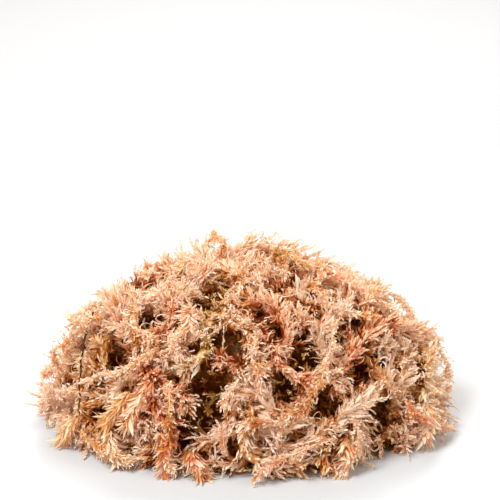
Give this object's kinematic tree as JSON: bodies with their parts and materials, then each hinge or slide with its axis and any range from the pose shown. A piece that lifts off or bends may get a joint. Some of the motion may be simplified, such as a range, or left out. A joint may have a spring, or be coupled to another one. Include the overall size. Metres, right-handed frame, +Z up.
{
  "type": "dried sphagnum moss clump",
  "caption": "Loose domed heap of dried sphagnum moss: leafy, forked strands laid over a dense tangle, with dark hollows and a thin twig.",
  "frame": {"origin": "middle of the flat spot under the heap, on the surface that it rests on", "axes": "+Z up, -Y towards the front of the heap, +X along its width to the right as seen from the front"},
  "size_m": [0.1994, 0.1641, 0.0852],
  "materials": {
    "moss_cream": "matte",
    "moss_tan": "matte",
    "moss_blush": "matte",
    "moss_coral": "matte",
    "moss_amber": "matte",
    "moss_olive": "matte",
    "moss_umber": "matte",
    "bark": "matte"
  },
  "bodies": {
    "root": {"bark_twig": "bark", "inner_tangle": "moss_umber", "strand_amber_01": "moss_amber", "strand_amber_02": "moss_amber", "strand_amber_03": "moss_amber", "strand_amber_04": "moss_amber", "strand_amber_05": "moss_amber", "strand_amber_06": "moss_amber", "strand_blush_01": "moss_blush", "strand_blush_02": "moss_blush", "strand_blush_03": "moss_blush", "strand_blush_04": "moss_blush", "strand_blush_05": "moss_blush", "strand_coral_01": "moss_coral", "strand_coral_02": "moss_coral", "strand_coral_03": "moss_coral", "strand_coral_04": "moss_coral", "strand_coral_05": "moss_coral", "strand_coral_06": "moss_coral", "strand_coral_07": "moss_coral", "strand_coral_08": "moss_coral", "strand_cream_01": "moss_cream", "strand_cream_02": "moss_cream", "strand_cream_03": "moss_cream", "strand_cream_04": "moss_cream", "strand_cream_05": "moss_cream", "strand_cream_06": "moss_cream", "strand_cream_07": "moss_cream", "strand_cream_08": "moss_cream", "strand_cream_09": "moss_cream", "strand_cream_10": "moss_cream", "strand_cream_11": "moss_cream", "strand_cream_12": "moss_cream", "strand_cream_13": "moss_cream", "strand_cream_14": "moss_cream", "strand_cream_15": "moss_cream", "strand_cream_16": "moss_cream", "strand_cream_17": "moss_cream", "strand_cream_18": "moss_cream", "strand_cream_19": "moss_cream", "strand_cream_20": "moss_cream", "strand_cream_21": "moss_cream", "strand_olive_01": "moss_olive", "strand_olive_02": "moss_olive", "strand_tan_01": "moss_tan", "strand_tan_02": "moss_tan", "strand_tan_03": "moss_tan", "strand_tan_04": "moss_tan", "strand_tan_05": "moss_tan", "strand_tan_06": "moss_tan", "strand_tan_07": "moss_tan", "strand_tan_08": "moss_tan", "strand_tan_09": "moss_tan", "strand_tan_10": "moss_tan"}
  },
  "joints": []
}
